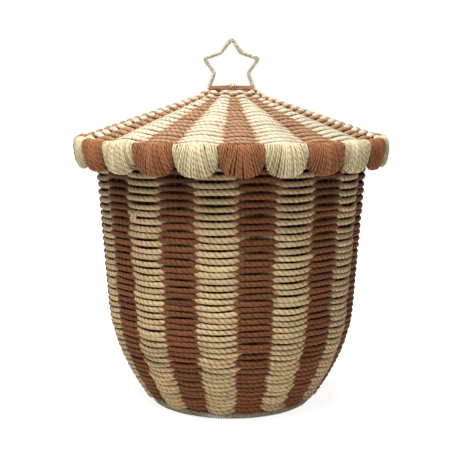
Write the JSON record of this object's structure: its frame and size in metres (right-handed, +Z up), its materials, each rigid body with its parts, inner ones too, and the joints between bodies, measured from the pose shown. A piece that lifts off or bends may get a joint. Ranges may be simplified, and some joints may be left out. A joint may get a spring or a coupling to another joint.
{
  "type": "lidded storage basket",
  "caption": "Round striped paper-cord basket on a wire frame, with a loose cone lid edged in wound scallops and a bent-wire star handle.",
  "frame": {"origin": "on the ground under the middle of the floor", "axes": "+Z up, the front of the star and the pictured side towards -Y, +X to the viewer's right"},
  "size_m": [0.3992, 0.3992, 0.468],
  "materials": {
    "cream_cord": "matte twisted paper cord",
    "terracotta_cord": "matte twisted paper cord",
    "fine_cream_cord": "matte fine paper cord",
    "steel_wire": "dull drawn wire"
  },
  "bodies": {
    "basket": {"basket_frame": "steel_wire", "base_hoop": "fine_cream_cord", "rim_binding": "fine_cream_cord", "floor_weave": "cream_cord", "wall_stripe_cream_01": "cream_cord", "wall_stripe_cream_02": "cream_cord", "wall_stripe_cream_03": "cream_cord", "wall_stripe_cream_04": "cream_cord", "wall_stripe_cream_05": "cream_cord", "wall_stripe_cream_06": "cream_cord", "wall_stripe_cream_07": "cream_cord", "wall_stripe_cream_08": "cream_cord", "wall_stripe_cream_09": "cream_cord", "wall_stripe_cream_10": "cream_cord", "wall_stripe_cream_11": "cream_cord", "wall_stripe_terracotta_01": "terracotta_cord", "wall_stripe_terracotta_02": "terracotta_cord", "wall_stripe_terracotta_03": "terracotta_cord", "wall_stripe_terracotta_04": "terracotta_cord", "wall_stripe_terracotta_05": "terracotta_cord", "wall_stripe_terracotta_06": "terracotta_cord", "wall_stripe_terracotta_07": "terracotta_cord", "wall_stripe_terracotta_08": "terracotta_cord", "wall_stripe_terracotta_09": "terracotta_cord", "wall_stripe_terracotta_10": "terracotta_cord", "wall_stripe_terracotta_11": "terracotta_cord"},
    "lid": {"lid_frame": "steel_wire", "lid_weave_cream": "cream_cord", "lid_weave_terracotta": "terracotta_cord", "scallop_cream_01": "fine_cream_cord", "scallop_cream_02": "fine_cream_cord", "scallop_cream_03": "fine_cream_cord", "scallop_cream_04": "fine_cream_cord", "scallop_cream_05": "fine_cream_cord", "scallop_cream_06": "fine_cream_cord", "scallop_cream_07": "fine_cream_cord", "scallop_cream_08": "fine_cream_cord", "scallop_cream_09": "fine_cream_cord", "scallop_cream_10": "fine_cream_cord", "scallop_cream_11": "fine_cream_cord", "scallop_cream_12": "fine_cream_cord", "scallop_terracotta_01": "terracotta_cord", "scallop_terracotta_02": "terracotta_cord", "scallop_terracotta_03": "terracotta_cord", "scallop_terracotta_04": "terracotta_cord", "scallop_terracotta_05": "terracotta_cord", "scallop_terracotta_06": "terracotta_cord", "scallop_terracotta_07": "terracotta_cord", "scallop_terracotta_08": "terracotta_cord", "scallop_terracotta_09": "terracotta_cord", "scallop_terracotta_10": "terracotta_cord", "scallop_terracotta_11": "terracotta_cord", "scallop_terracotta_12": "terracotta_cord", "star_wire": "steel_wire", "star_binding": "fine_cream_cord", "star_foot_binding": "terracotta_cord", "star_knot": "fine_cream_cord", "crown_hoop": "terracotta_cord", "crown_coil": "terracotta_cord"}
  },
  "joints": [
    {"name": "lid_lift", "type": "slide", "parent": "basket", "child": "lid", "axis": [0, 0, 1], "range_m": [0, 0.25]}
  ]
}
